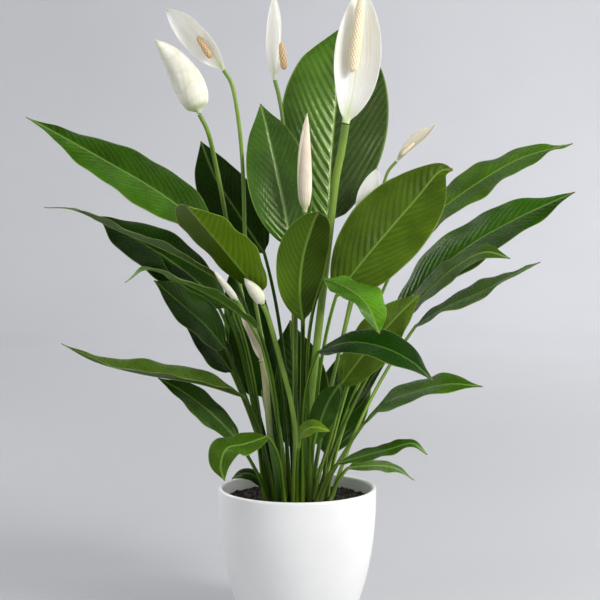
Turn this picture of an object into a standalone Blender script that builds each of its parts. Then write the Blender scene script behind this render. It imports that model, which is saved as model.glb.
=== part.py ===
"""Potted peace lily (Spathiphyllum) in a plain white ceramic pot.

Frame: origin at the centre of the pot's underside, +Z up, -Y towards the front.
Every leaf is one piece from its root to its tip: a round petiole that widens into the blade.
Every flower has three pieces: a green stem, a white spathe and, where it shows, a spadix.
Blade and flower points are in millimetres from the centre of the pot's rim plane:
x to the right, y to the back, z up from the rim.
"""
import math
from collections import namedtuple

import bmesh
import bpy
from mathutils import Vector

MM = 0.001

# Driving dimensions, in metres.
POT_HEIGHT = 132 * MM
POT_RIM_RADIUS = 72.4 * MM
POT_BASE_RADIUS = 46 * MM
POT_WALL = 4 * MM
POT_FLOOR = 6 * MM
POT_BASE_BEVEL = 2 * MM
SOIL_DROP = 12 * MM            # from the rim plane down to the soil
CROWN_RADIUS = 36 * MM         # the ring of soil that the roots come up in
ROOT_SPACING = 8.4 * MM        # closest that two roots grow together
ROOT_RADIUS = 1.9 * MM         # a petiole where it leaves the soil
PETIOLE_RADIUS = 1.5 * MM      # a petiole where it meets its blade
BLADE_THICKNESS = 1.2 * MM
SPATHE_THICKNESS = 1.2 * MM
PLANT_SPREAD = 1.0             # scales every leaf and flower point sideways
PLANT_RISE = 1.0               # scales every leaf and flower point upwards
GAP = 0.3 * MM                 # between pieces that touch

# Proportions. A rise or a fall is the power of an outline's near or far end.
POT_BARREL = 2.4               # how late the side of the pot turns in towards its base
ROOT_LEAN = 0.45               # the lean at which a shoot's root is halfway out in the crown
ROOT_UPRIGHT = 0.7             # how much more upright than its lean a shoot leaves the soil
BLADE_PULL = 0.5               # how much a shoot's top already turns the way its blade goes
BLADE_RISE = 0.7
BLADE_FALL = 0.9
TIP_START = 0.78               # where a blade's drawn-out tip begins, as a share of its length
TIP_TAPER = 0.3                # how much narrower than its outline the tip ends
SPATHE_RISE = 0.8
SPATHE_FALL = 0.85
BUD_RISE = 0.45
BUD_FALL = 0.8
OUTLINE_END = 0.97             # outlines stop here, so that no end is a sharp point
SPADIX_SHAPE = ((0, 0.35), (0.06, 0.85), (0.3, 1), (0.6, 1), (0.85, 0.85), (0.96, 0.6), (1, 0.2))

# How finely the curved pieces are cut.
POT_SEGMENTS = 48
POT_STEPS = 8
SOIL_STEPS = 4
PETIOLE_SPANS = 4
BLADE_SPANS = 8
STEM_SIDES = 6
STEM_SPANS = 8
SPATHE_SPANS = 7
SPADIX_SIDES = 8
SHARP_ANGLE = 50               # degrees, above which an edge isn't shaded smooth
FINE_STEPS = 80
SETTLING_ROUNDS = 80           # passes that push crowded roots apart

# A leaf's fall is the power of its tip end: the larger, the longer and thinner its tip.
Leaf = namedtuple(
    "Leaf", "name midrib width face fold cup twist fall", defaults=(14, -15, 0, BLADE_FALL)
)
Flower = namedtuple("Flower", "number stem stem_radius spathe width face cup spadix")

LEAVES = (
    Leaf(
        "leaf_01",
        [(-76, 10, 233), (-128, 18, 270), (-177, 28, 298), (-219, 36, 321), (-251, 42, 338)],
        62, (0.2, -0.6, 0.75), fold=15, cup=-20, twist=0, fall=1.25,
    ),
    Leaf(
        "leaf_02",
        [(-69, 5, 190), (-112, -4, 215), (-159, -16, 236), (-197, -30, 255), (-223, -42, 258)],
        40, (0, 0.1, 1), fold=12, cup=-10, twist=0, fall=1.1,
    ),
    Leaf(
        "leaf_03",
        [(-77, 46, 168), (-115, 56, 200), (-154, 70, 224), (-191, 86, 244)],
        60, (0.2, -0.6, 0.75), fold=12, cup=-15, twist=0,
    ),
    Leaf(
        "leaf_04",
        [(-31, -50, 183), (-50, -68, 207), (-69, -88, 232), (-84, -116, 253), (-91, -142, 264)],
        64, (0.2, 0.3, 0.9), fold=14, cup=-15, twist=0, fall=0.75,
    ),
    Leaf(
        "leaf_05",
        [(-35, -45, 152), (-67, -66, 178), (-101, -86, 197), (-127, -102, 208), (-145, -116, 198)],
        44, (0, 0, 1), fold=12, cup=-15, twist=0, fall=1.1,
    ),
    Leaf(
        "leaf_06",
        [(-65, -10, 128), (-83, -18, 151), (-106, -28, 173), (-127, -38, 193)],
        48, (0.3, -0.6, 0.7), fold=15, cup=-15, twist=0,
    ),
    Leaf(
        "leaf_07",
        [(-4, 10, 219), (-12, 16, 256), (-20, 26, 294), (-28, 38, 328), (-34, 48, 350)],
        58, (0, -1, 0.4), fold=14, cup=-15, twist=0,
    ),
    Leaf(
        "leaf_08",
        [(5, -45, 157), (2, -58, 186), (5, -75, 218), (13, -98, 246), (18, -122, 258)],
        44, (0, 0.6, 0.8), fold=14, cup=-15, twist=0, fall=0.75,
    ),
    Leaf(
        "leaf_09",
        [(29, 44, 239), (32, 64, 298), (37, 82, 354), (43, 100, 396), (49, 112, 425)],
        102, (0, -1, 0.4), fold=14, cup=-15, twist=0, fall=0.68,
    ),
    Leaf(
        "leaf_10",
        [(35, -10, 176), (59, -5, 207), (85, 5, 237), (109, 12, 264), (129, 18, 287), (142, 20, 290)],
        74, (-0.1, -1, 0.5), fold=18, cup=-15, twist=0, fall=0.8,
    ),
    Leaf(
        "leaf_11",
        [(101, 60, 218), (135, 72, 250), (174, 86, 277), (215, 100, 299), (266, 114, 313)],
        52, (-0.2, -0.4, 0.9), fold=12, cup=-15, twist=0,
    ),
    Leaf(
        "leaf_12",
        [(90, 20, 159), (122, 15, 192), (159, 10, 222), (202, 5, 247), (251, 0, 270)],
        60, (-0.2, -0.55, 0.8), fold=12, cup=-15, twist=0,
    ),
    Leaf(
        "leaf_13",
        [(94, -15, 157), (119, -22, 184), (142, -30, 205), (166, -38, 218), (188, -44, 213)],
        34, (-0.2, -0.45, 0.85), fold=12, cup=-15, twist=0,
    ),
    Leaf(
        "leaf_14",
        [(106, -25, 151), (131, -38, 169), (161, -54, 184), (187, -70, 200), (209, -84, 213)],
        48, (0, -0.35, 0.9), fold=12, cup=-15, twist=0, fall=1.1,
    ),
    Leaf(
        "leaf_15",
        [(39, -5, 94), (62, -15, 126), (87, -25, 157), (110, -33, 181)],
        44, (-0.25, -0.9, 0.5), fold=12, cup=-15, twist=0,
    ),
    Leaf(
        "leaf_16",
        [(23, -66, 197), (42, -88, 191), (59, -110, 179), (69, -128, 156)],
        45, (0, 0, 1), fold=16, cup=-15, twist=0,
    ),
    Leaf(
        "leaf_17",
        [(18, -54, 131), (46, -66, 141), (74, -76, 138), (98, -84, 127), (117, -90, 111)],
        50, (0.1, -0.4, 0.9), fold=12, cup=-15, twist=0,
    ),
    Leaf(
        "leaf_18",
        [(59, -40, 65), (78, -54, 85), (101, -70, 97), (130, -86, 107), (159, -98, 107)],
        45, (0, -0.4, 0.9), fold=12, cup=-15, twist=0,
    ),
    Leaf(
        "leaf_19",
        [(47, 4, 67), (59, 3, 85), (70, 2, 103), (81, 2, 115)],
        14, (-0.3, -0.6, 0.7), fold=12, cup=-15, twist=0,
    ),
    Leaf(
        "leaf_20",
        [(36, -45, 30), (56, -52, 37), (82, -62, 46), (101, -68, 52), (114, -72, 43)],
        20, (0, -0.5, 0.9), fold=12, cup=-15, twist=0,
    ),
    Leaf(
        "leaf_21",
        [(46, -20, 21), (66, -10, 21), (88, 2, 17), (108, 10, 4)],
        22, (0, -0.4, 0.9), fold=12, cup=-15, twist=0,
    ),
    Leaf(
        "leaf_22",
        [(-48, -34, 89), (-86, -50, 103), (-137, -66, 114), (-175, -78, 126), (-203, -88, 143)],
        48, (0, -0.15, 1), fold=24, cup=-10, twist=0, fall=1.15,
    ),
    Leaf(
        "leaf_23",
        [(-52, -20, 44), (-74, -24, 68), (-98, -30, 89), (-124, -38, 106)],
        32, (0.2, -0.6, 0.75), fold=12, cup=-15, twist=0,
    ),
    Leaf(
        "leaf_24",
        [(-26, -55, 56), (-46, -66, 51), (-61, -76, 49), (-66, -84, 36), (-63, -88, 23)],
        34, (-0.3, -0.6, 0.8), fold=12, cup=-15, twist=0,
    ),
    Leaf(
        "leaf_25",
        [(1, -52, 45), (4, -58, 59), (15, -64, 66), (29, -68, 63)],
        20, (-0.2, -0.5, 0.8), fold=12, cup=-15, twist=0,
    ),
    Leaf(
        "leaf_26",
        [(37, -25, 97), (28, -29, 83), (20, -33, 63), (15, -35, 44)],
        24, (-0.1, -1, 0.2), fold=12, cup=-15, twist=0,
    ),
    Leaf(
        "leaf_27",
        [(-31, 62, 210), (-56, 76, 247), (-78, 94, 280), (-93, 110, 315)],
        52, (0, -1, 0.3), fold=12, cup=-15, twist=0,
    ),
    Leaf(
        "leaf_28",
        [(-66, 18, 163), (-97, 22, 191), (-127, 26, 213)],
        40, (0.2, -0.6, 0.75), fold=12, cup=-15, twist=0,
    ),
    Leaf(
        "leaf_29",
        [(-39, 22, 79), (-44, 22, 105), (-50, 22, 133), (-60, 23, 161)],
        33, (0.1, -1, 0.3), fold=12, cup=-15, twist=0,
    ),
    Leaf(
        "leaf_30",
        [(-33, 14, -3), (-40, 16, 7), (-50, 16, 9), (-61, 15, 4)],
        16, (0, -0.5, 0.8), fold=12, cup=-15, twist=0,
    ),
    Leaf(
        "leaf_31",
        [(-60, 6, 105), (-75, 3, 126), (-90, -1, 145), (-106, -4, 162)],
        40, (0.3, -0.6, 0.7), fold=12, cup=-15, twist=0,
    ),
    Leaf(
        "leaf_32",
        [(2, 66, 20), (0, 80, 60), (-3, 92, 100), (-7, 106, 142)],
        64, (0, -1, 0.3), fold=12, cup=-15, twist=0,
    ),
    Leaf(
        "leaf_33",
        [(27, 64, 17), (39, 92, 51), (51, 108, 88), (63, 122, 123)],
        54, (0, -1, 0.3), fold=12, cup=-15, twist=0,
    ),
    Leaf(
        "leaf_34",
        [(-29, 40, 74), (-42, 52, 120), (-51, 67, 166), (-58, 84, 210)],
        46, (0, -0.5, 1), fold=12, cup=-15, twist=0,
    ),
)

FLOWERS = (
    Flower(
        1, [(-65, 58, 233), (-73, 40, 282), (-81, 22, 322), (-89, 18, 340)], 2.0,
        [(-89, 18, 341), (-98, 22, 364), (-112, 22, 388), (-128, 16, 407)], 29, None, 0,
        None,
    ),
    Flower(
        2, [(-49, 42, 231), (-50, 36, 282), (-53, 25, 328), (-59, 22, 365), (-67, 20, 380)], 1.8,
        [(-67, 20, 381), (-82, 20, 402), (-100, 20, 421), (-119, 20, 435)], 34, (-0.5, -1, -0.3), 120,
        ((-78, 14, 391), (-90, 12, 410), 3.2),
    ),
    Flower(
        3, [(-7, 46, 261), (-13, 50, 330), (-17, 54, 356), (-21, 57, 372)], 1.8,
        [(-21, 58, 373), (-28, 58, 398), (-27, 58, 428), (-22, 58, 451)], 42, (1, -0.1, 0), 165,
        ((-12, 57, 382), (-15, 57, 407), 3.4),
    ),
    Flower(
        4, [(30, 20, 238), (35, 20, 280), (40, 19, 306), (44, 18, 331)], 3.6,
        [(44, 18, 332), (52, 20, 366), (56, 24, 409), (59, 30, 455)], 47, (0, -1, 0.1), 90,
        ((50, 13, 378), (58, 17, 446), 5.2),
    ),
    Flower(
        5, [(5, -15, 146), (7, -4, 251)], 2.0,
        [(7, -4, 252), (7, -4, 272), (7, -2, 308), (9, 0, 341)], 13, None, 0,
        None,
    ),
    Flower(
        6, [(78, 46, 268), (84, 46, 287), (92, 46, 297)], 1.4,
        [(93, 46, 298), (105, 46, 311), (129, 46, 331)], 14, (-0.3, -1, 0.6), 130,
        ((96, 40, 303), (108, 40, 314), 1.8),
    ),
    Flower(
        7, [(56, 28, 205), (60, 28, 234)], 1.6,
        [(60, 28, 236), (63, 30, 262), (74, 34, 291)], 22, (0.2, -1, 0.3), 110,
        None,
    ),
    Flower(
        8, [(-2, -42, 63), (-7, -50, 93), (-17, -60, 133), (-25, -64, 162), (-30, -66, 174)], 2.2,
        [(-30, -66, 175), (-35, -67, 184), (-46, -70, 198)], 11.5, None, 0,
        None,
    ),
    Flower(
        9, [(-32, -17, 133), (-54, -14, 173)], 1.6,
        [(-54, -14, 173), (-65, -15, 187), (-75, -16, 200)], 6.5, None, 0,
        None,
    ),
    Flower(
        10, [(-25, -12, 53), (-30, -9, 107), (-32, -8, 116)], 3.0,
        [(-32, -8, 117), (-37, -7, 138), (-45, -5, 153), (-52, -4, 163)], 14, (-0.4, -1, 0.1), 150,
        None,
    ),
)

COLOURS = {
    "ceramic": ((0.86, 0.86, 0.85), 0.3),
    "soil": ((0.035, 0.018, 0.012), 0.95),
    "leaf": ((0.055, 0.17, 0.02), 0.35),
    "stem": ((0.16, 0.32, 0.05), 0.45),
    "spathe": ((0.86, 0.84, 0.76), 0.5),
    "spadix": ((0.66, 0.45, 0.22), 0.6),
}


# ---------------------------------------------------------------- scene helpers

def clear_scene():
    for item in list(bpy.data.objects):
        bpy.data.objects.remove(item, do_unlink=True)


def material(kind, name):
    colour, roughness = COLOURS[kind]
    result = bpy.data.materials.new(name)
    result.use_nodes = True
    shader = result.node_tree.nodes["Principled BSDF"]
    shader.inputs["Base Color"].default_value = (*colour, 1)
    shader.inputs["Roughness"].default_value = roughness
    shader.inputs["Metallic"].default_value = 0
    result.diffuse_color = (*colour, 1)
    return result


def add_object(name, points, faces, kind):
    """A named object from points and faces, smooth shaded, with its faces out."""
    mesh = bpy.data.meshes.new(name)
    mesh.from_pydata([tuple(point) for point in points], [], faces)
    work = bmesh.new()
    work.from_mesh(mesh)
    bmesh.ops.recalc_face_normals(work, faces=work.faces)
    work.to_mesh(mesh)
    work.free()
    mesh.shade_smooth()
    mesh.set_sharp_from_angle(angle=math.radians(SHARP_ANGLE))
    mesh.materials.append(material(kind, name))
    result = bpy.data.objects.new(name, mesh)
    bpy.context.scene.collection.objects.link(result)
    return result


def loft(name, rings, kind):
    """A closed solid through rings of equally many points, with a cap at each end."""
    count = len(rings[0])
    points = [point for ring in rings for point in ring]
    faces = []
    for row in range(len(rings) - 1):
        for column in range(count):
            after = (column + 1) % count
            low = row * count
            high = low + count
            faces.append((low + column, low + after, high + after, high + column))
    faces.append(tuple(range(count)))
    faces.append(tuple(range(len(points) - count, len(points))))
    return add_object(name, points, faces, kind)


def turned(name, profile, kind):
    """A solid turned about the Z axis from (radius, height) pairs; a zero radius is a pole."""
    points = []
    rows = []
    for radius, height in profile:
        if radius == 0:
            rows.append([len(points)] * POT_SEGMENTS)
            points.append((0, 0, height))
            continue
        rows.append(list(range(len(points), len(points) + POT_SEGMENTS)))
        for step in range(POT_SEGMENTS):
            angle = 2 * math.pi * step / POT_SEGMENTS
            points.append((radius * math.cos(angle), radius * math.sin(angle), height))
    faces = []
    for low, high in zip(rows, rows[1:]):
        for step in range(POT_SEGMENTS):
            after = (step + 1) % POT_SEGMENTS
            corners = (low[step], low[after], high[after], high[step])
            faces.append(tuple(dict.fromkeys(corners)))
    return add_object(name, points, faces, kind)


# ---------------------------------------------------------------- curves

def smooth(share):
    share = min(max(share, 0), 1)
    return share * share * (3 - 2 * share)


def place(point):
    """A leaf or flower point, from millimetres about the rim to metres in the part's frame."""
    x, y, z = point
    return Vector((x * MM * PLANT_SPREAD, y * MM * PLANT_SPREAD, POT_HEIGHT + z * MM * PLANT_RISE))


def spline(points, share):
    """The point a share of the way along a smooth curve through the points."""
    spans = len(points) - 1
    index = min(int(share * spans), spans - 1)
    local = share * spans - index
    before = points[index - 1] if index > 0 else 2 * points[0] - points[1]
    start = points[index]
    end = points[index + 1]
    after = points[index + 2] if index + 2 <= spans else 2 * points[-1] - points[-2]
    slope_in = (end - before) / 2
    slope_out = (after - start) / 2
    return hermite(start, slope_in, end, slope_out, local)


def hermite(start, slope_in, end, slope_out, share):
    square = share * share
    cube = square * share
    return (
        start * (2 * cube - 3 * square + 1) + slope_in * (cube - 2 * square + share)
        + end * (3 * square - 2 * cube) + slope_out * (cube - square)
    )


def even_points(points, spans):
    """Points equally far apart along the smooth curve through the given ones."""
    fine = [spline(points, step / FINE_STEPS) for step in range(FINE_STEPS + 1)]
    travelled = [0]
    for low, high in zip(fine, fine[1:]):
        travelled.append(travelled[-1] + (high - low).length)
    result = []
    index = 0
    for step in range(spans + 1):
        wanted = travelled[-1] * step / spans
        while index < FINE_STEPS - 1 and travelled[index + 1] < wanted:
            index += 1
        part = (wanted - travelled[index]) / (travelled[index + 1] - travelled[index])
        result.append(fine[index].lerp(fine[index + 1], min(part, 1)))
    return result


def tangents(line):
    result = []
    for index in range(len(line)):
        low = line[max(index - 1, 0)]
        high = line[min(index + 1, len(line) - 1)]
        result.append((high - low).normalized())
    return result


def frames(line, face, anchor):
    """A (tangent, side, normal) at each point, turned as little as possible along the line.

    At the anchor index the normal is as close to the face direction as it can be.
    """
    along = tangents(line)
    normals = [None] * len(line)
    normal = face - along[anchor] * face.dot(along[anchor])
    normals[anchor] = normal.normalized()
    for index in range(anchor + 1, len(line)):
        turn = along[index - 1].rotation_difference(along[index])
        normals[index] = turn @ normals[index - 1]
    for index in range(anchor - 1, -1, -1):
        turn = along[index + 1].rotation_difference(along[index])
        normals[index] = turn @ normals[index + 1]
    return [(t, t.cross(n).normalized(), n) for t, n in zip(along, normals)]


# ---------------------------------------------------------------- roots in the crown

def soil_height():
    return POT_HEIGHT - SOIL_DROP


def rising_shoots():
    """The first point above the soil of every petiole and flower stem."""
    shoots = [(leaf.name, place(leaf.midrib[0])) for leaf in LEAVES]
    shoots += [(f"flower_stem_{flower.number}", place(flower.stem[0])) for flower in FLOWERS]
    return shoots


def root_spots():
    """Where each shoot leaves the soil: out towards where it leans, then pushed apart."""
    names = []
    spots = []
    for name, point in rising_shoots():
        out = Vector((point.x, point.y))
        lean = out.length / (point.z - soil_height())
        reach = CROWN_RADIUS * lean / (lean + ROOT_LEAN)
        names.append(name)
        spots.append(out.normalized() * reach)
    for _ in range(SETTLING_ROUNDS):
        push_apart(spots)
    return dict(zip(names, spots))


def push_apart(spots):
    for first in range(len(spots)):
        for second in range(first + 1, len(spots)):
            apart = spots[second] - spots[first]
            short = ROOT_SPACING - apart.length
            if short > 0:
                step = apart.normalized() * (short / 2)
                spots[first] -= step
                spots[second] += step
    for spot in spots:
        if spot.length > CROWN_RADIUS:
            spot *= CROWN_RADIUS / spot.length


def shoot_line(spot, points, spans):
    """The line of a petiole or stem from its root up to the first of the points."""
    root = Vector((spot.x, spot.y, soil_height() + GAP))
    top = points[0]
    reach = (top - root).length
    leaving = (points[1] - points[0]).normalized()
    lean = (top - root).normalized()
    rising = (Vector((0, 0, ROOT_UPRIGHT)) + lean).normalized()
    arriving = (leaving * BLADE_PULL + lean).normalized()
    return [hermite(root, rising * reach, top, arriving * reach, step / spans) for step in range(spans)]


# ---------------------------------------------------------------- blades

BLADE_COLUMNS = (-1, -0.5, 0, 0.5, 1)


def outline(share, rise, fall):
    """A width from 0 up to 1 and down to 0: the larger the power, the more pointed that end."""
    peak = rise / (rise + fall)
    return (share / peak) ** rise * ((1 - share) / (1 - peak)) ** fall


def blade_outline(share, fall):
    """Half-width share of a blade: widest before the middle, drawn out to a thin tip."""
    tip = smooth((share - TIP_START) / (1 - TIP_START))
    return outline(share, BLADE_RISE, fall) * (1 - TIP_TAPER * tip)


def section_point(across, half_width, fold, cup):
    """Sideways and upward offset of a point across a blade that is folded and cupped."""
    reach = abs(across) * half_width
    turn = cup * abs(across)
    if abs(turn) < 0.001:
        out, rise = reach, 0
    else:
        out = reach * math.sin(turn) / turn
        rise = reach * (1 - math.cos(turn)) / turn
    side = math.copysign(1, across)
    return (
        side * (out * math.cos(fold) - rise * math.sin(fold)),
        out * math.sin(fold) + rise * math.cos(fold),
    )


def round_ring(centre, side, normal, radius):
    """A ring whose points lie where the blade's points grow out of it."""
    count = 2 * len(BLADE_COLUMNS)
    ring = []
    for step in range(count):
        angle = math.pi - 2 * math.pi * (step + 0.5) / count
        ring.append(centre + radius * (side * math.cos(angle) + normal * math.sin(angle)))
    return ring


def blade_ring(centre, side, normal, half_width, fold, cup, thickness, keel):
    """The closed section of a blade, with a keel under its midrib."""
    upper = []
    lower = []
    for across in BLADE_COLUMNS:
        out, rise = section_point(across, half_width, fold, cup)
        tilt = 0 if across == 0 else math.copysign(fold + cup * abs(across), across)
        up = normal * math.cos(tilt) - side * math.sin(tilt)
        middle = centre + side * out + normal * rise
        depth = thickness / 2 + (keel if across == 0 else 0)
        upper.append(middle + up * thickness / 2)
        lower.append(middle - up * depth)
    return upper + lower[::-1]


def stand_on_soil(ring):
    """Cuts a root off level, just clear of the soil."""
    for point in ring:
        point.z = soil_height() + GAP


def make_leaf(leaf, spot):
    points = [place(point) for point in leaf.midrib]
    line = shoot_line(spot, points, PETIOLE_SPANS)
    line += even_points(points, BLADE_SPANS)
    turned_frames = frames(line, Vector(leaf.face), PETIOLE_SPANS + BLADE_SPANS // 2)
    fold = math.radians(leaf.fold)
    cup = math.radians(leaf.cup)
    rings = []
    for index, centre in enumerate(line):
        _, side, normal = turned_frames[index]
        share = (index - PETIOLE_SPANS) / BLADE_SPANS
        if share <= 0:
            low = index / PETIOLE_SPANS
            radius = ROOT_RADIUS + (PETIOLE_RADIUS - ROOT_RADIUS) * low
            rings.append(round_ring(centre, side, normal, radius))
            continue
        roll = math.radians(leaf.twist) * (share - 0.5)
        side, normal = (
            side * math.cos(roll) + normal * math.sin(roll),
            normal * math.cos(roll) - side * math.sin(roll),
        )
        half = leaf.width * MM * PLANT_SPREAD / 2 * blade_outline(min(share, OUTLINE_END), leaf.fall)
        keel = PETIOLE_RADIUS * (1 - share)
        rings.append(blade_ring(centre, side, normal, half, fold, cup, BLADE_THICKNESS, keel))
    stand_on_soil(rings[0])
    return loft(leaf.name, rings, "leaf")


# ---------------------------------------------------------------- flowers

def stem_end(flower):
    """The top of the stem and the direction in which the spathe carries on."""
    first, second = (place(point) for point in flower.spathe[:2])
    return first, (second - first).normalized()


def make_stem(flower, spot):
    points = [place(point) for point in flower.stem]
    line = shoot_line(spot, points, STEM_SPANS // 2)
    line += even_points(points, STEM_SPANS - STEM_SPANS // 2)
    rings = []
    for centre, (_, side, normal) in zip(line, frames(line, Vector((0, -1, 0)), 0)):
        ring = []
        for step in range(STEM_SIDES):
            angle = 2 * math.pi * step / STEM_SIDES
            arm = side * math.cos(angle) + normal * math.sin(angle)
            ring.append(centre + arm * flower.stem_radius * MM)
        rings.append(ring)
    stand_on_soil(rings[0])
    return loft(f"flower_stem_{flower.number}", rings, "stem")


def spathe_outline(share):
    """Half-width share of a spathe: full below the middle, with a short pointed tip."""
    return outline(share, SPATHE_RISE, SPATHE_FALL)


def bud_outline(share):
    """Half-width share of a closed spathe: fullest low down."""
    return outline(share, BUD_RISE, BUD_FALL)


def spathe_line(flower):
    points = [place(point) for point in flower.spathe]
    top, along = stem_end(flower)
    points[0] = top + along * GAP
    return even_points(points, SPATHE_SPANS)


def make_spathe(flower):
    line = spathe_line(flower)
    name = f"spathe_{flower.number}"
    closed = flower.face is None
    face = Vector((0, -1, 0)) if closed else Vector(flower.face)
    cup = math.radians(flower.cup) / 2
    rings = []
    for index, (centre, frame) in enumerate(zip(line, frames(line, face, SPATHE_SPANS // 2))):
        _, side, normal = frame
        share = min(index / SPATHE_SPANS, OUTLINE_END)
        half = flower.width * MM * PLANT_SPREAD / 2
        if index == 0:
            ring = round_ring(centre, side, normal, flower.stem_radius * MM)
        elif closed:
            ring = round_ring(centre, side, normal, half * bud_outline(share))
        else:
            half *= spathe_outline(share)
            ring = blade_ring(centre, side, normal, half, 0, cup, SPATHE_THICKNESS, 0)
        rings.append(ring)
    return loft(name, rings, "spathe")


def make_spadix(flower):
    base, tip, radius = flower.spadix
    low = place(base)
    high = place(tip)
    along = (high - low).normalized()
    side = along.cross(Vector((0, 1, 0))).normalized()
    normal = side.cross(along)
    rings = []
    for share, size in SPADIX_SHAPE:
        centre = low.lerp(high, share)
        ring = []
        for step in range(SPADIX_SIDES):
            angle = 2 * math.pi * step / SPADIX_SIDES
            arm = side * math.cos(angle) + normal * math.sin(angle)
            ring.append(centre + arm * radius * MM * size)
        rings.append(ring)
    return loft(f"spadix_{flower.number}", rings, "spadix")


# ---------------------------------------------------------------- pot and soil

def pot_outer_radius(height):
    """The barrel side: nearly upright below the rim and drawn in towards the base."""
    drop = (POT_HEIGHT - height) / POT_HEIGHT
    return POT_RIM_RADIUS - (POT_RIM_RADIUS - POT_BASE_RADIUS) * drop ** POT_BARREL


def pot_inner_radius(height):
    return pot_outer_radius(height) - POT_WALL


def make_pot():
    lip = POT_WALL / 2
    steps = POT_STEPS
    profile = [(0, 0), (POT_BASE_RADIUS - POT_BASE_BEVEL, 0)]
    for step in range(steps + 1):
        height = POT_BASE_BEVEL + (POT_HEIGHT - lip - POT_BASE_BEVEL) * step / steps
        profile.append((pot_outer_radius(height), height))
    centre = pot_outer_radius(POT_HEIGHT) - lip
    for step in range(1, 4):
        angle = math.pi * step / 4
        profile.append((centre + lip * math.cos(angle), POT_HEIGHT - lip + lip * math.sin(angle)))
    for step in range(steps + 1):
        height = POT_HEIGHT - lip - (POT_HEIGHT - lip - POT_FLOOR) * step / steps
        profile.append((pot_inner_radius(height), height))
    profile.append((0, POT_FLOOR))
    return turned("pot", profile, "ceramic")


def make_soil():
    """The earth that fills the pot, a gap clear of its wall all round."""
    top = soil_height()
    bottom = POT_FLOOR + GAP
    steps = SOIL_STEPS
    profile = [(0, bottom)]
    for step in range(steps + 1):
        height = bottom + (top - bottom) * step / steps
        profile.append((pot_inner_radius(height) - 2 * GAP, height))
    profile.append((0, top))
    return turned("soil", profile, "soil")


def main():
    clear_scene()
    make_pot()
    make_soil()
    spots = root_spots()
    for leaf in LEAVES:
        make_leaf(leaf, spots[leaf.name])
    for flower in FLOWERS:
        make_stem(flower, spots[f"flower_stem_{flower.number}"])
        make_spathe(flower)
        if flower.spadix:
            make_spadix(flower)


main()
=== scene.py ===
"""Potted peace lily: the looks.

Each leaf, stem, spathe and spadix is made again along the same lines as its CAD solid, with its
veins, waves and rolled edges, and stands for that solid. Lengths in the leaf and flower lists are
in millimetres from the centre of the pot's rim plane: x to the right, y to the back, z up.
"""
import math
import random
from collections import namedtuple

import bpy
import numpy as np
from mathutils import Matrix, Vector


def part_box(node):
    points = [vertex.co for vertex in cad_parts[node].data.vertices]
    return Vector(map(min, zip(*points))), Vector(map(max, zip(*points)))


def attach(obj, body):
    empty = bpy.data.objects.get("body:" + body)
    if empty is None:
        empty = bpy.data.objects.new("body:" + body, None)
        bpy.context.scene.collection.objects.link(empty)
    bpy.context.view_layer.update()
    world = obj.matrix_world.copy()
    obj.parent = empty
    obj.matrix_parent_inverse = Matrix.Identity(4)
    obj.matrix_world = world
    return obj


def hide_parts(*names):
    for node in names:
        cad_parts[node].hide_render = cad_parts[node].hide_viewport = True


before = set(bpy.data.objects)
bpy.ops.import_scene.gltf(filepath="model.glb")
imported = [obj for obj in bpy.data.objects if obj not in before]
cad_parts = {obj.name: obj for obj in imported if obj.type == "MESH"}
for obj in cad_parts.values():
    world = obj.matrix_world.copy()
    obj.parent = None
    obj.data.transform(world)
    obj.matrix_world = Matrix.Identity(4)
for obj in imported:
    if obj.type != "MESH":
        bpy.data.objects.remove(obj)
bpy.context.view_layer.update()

MM = 0.001
TURN = 2 * math.pi
BODY = "root"

# The pot and the crown, as the CAD solids have them.
POT_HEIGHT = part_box("pot")[1].z
SOIL_LOW, SOIL_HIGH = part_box("soil")
SOIL_TOP = SOIL_HIGH.z
POT_RIM_RADIUS = 72.4 * MM
POT_BASE_RADIUS = 46 * MM
POT_WALL = 4 * MM
POT_BARREL = 2.4  # the larger, the longer the side stays upright below the rim
CROWN_RADIUS = 36 * MM
ROOT_SPACING = 8.4 * MM
ROOT_RADIUS = 1.9 * MM
PETIOLE_RADIUS = 1.5 * MM
GAP = 0.3 * MM  # between the soil and what grows out of it
SPATHE_GAP = 0.03 * MM  # and between a stem and its spathe
ROOT_LEAN = 0.45
ROOT_UPRIGHT = 0.7
BLADE_PULL = 0.5
BLADE_RISE, BLADE_FALL = 0.7, 0.9
TIP_START, TIP_TAPER = 0.78, 0.3
SPATHE_RISE, SPATHE_FALL = 0.8, 0.85
BUD_RISE, BUD_FALL = 0.45, 0.8
SETTLING_ROUNDS = 80

Leaf = namedtuple("Leaf", "midrib width face fold cup fall", defaults=(12, -15, BLADE_FALL))
Flower = namedtuple(
    "Flower", "number stem stem_radius spathe width face cup spadix", defaults=(None, 0, None)
)

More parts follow.
